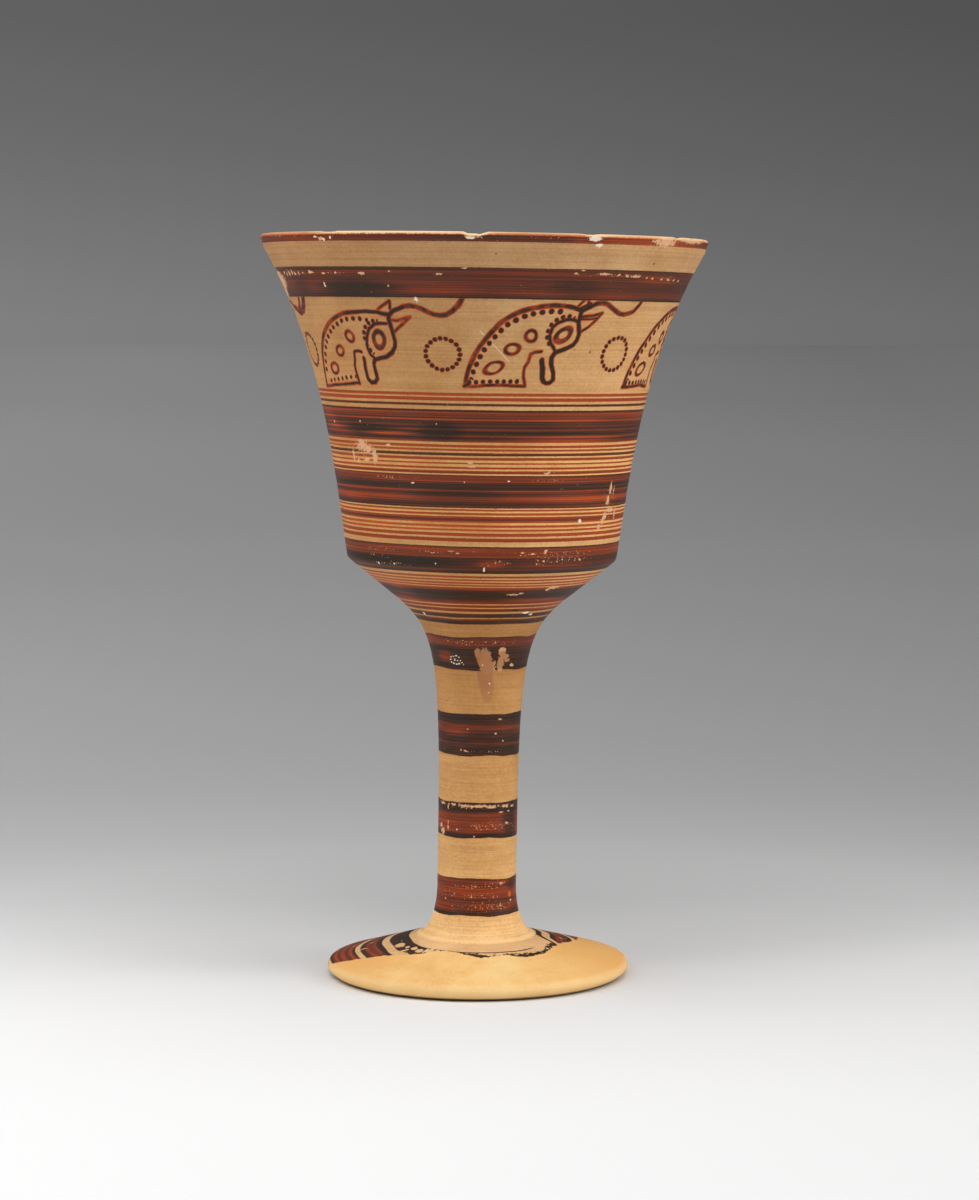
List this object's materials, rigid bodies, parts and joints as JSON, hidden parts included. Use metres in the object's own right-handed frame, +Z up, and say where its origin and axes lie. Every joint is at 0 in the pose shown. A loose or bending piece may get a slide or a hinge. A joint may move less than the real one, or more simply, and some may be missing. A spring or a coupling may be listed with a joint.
{
  "type": "terracotta chalice",
  "caption": "Tall stemmed drinking cup of fired clay: a deep flaring bowl with a sharp shoulder on a long solid stem and a round disc foot, painted with bands and horned animal heads.",
  "frame": {"origin": "on the ground under the middle of the lip", "axes": "+Z up through the vessel; -Y towards the side that the picture shows; the vessel leans slightly towards +X"},
  "size_m": [0.1442, 0.1442, 0.2411],
  "materials": {
    "painted_terracotta": "buff fired clay with burnished slip, painted in dark brown and red"
  },
  "bodies": {
    "root": {"chalice": "painted_terracotta"}
  },
  "joints": []
}
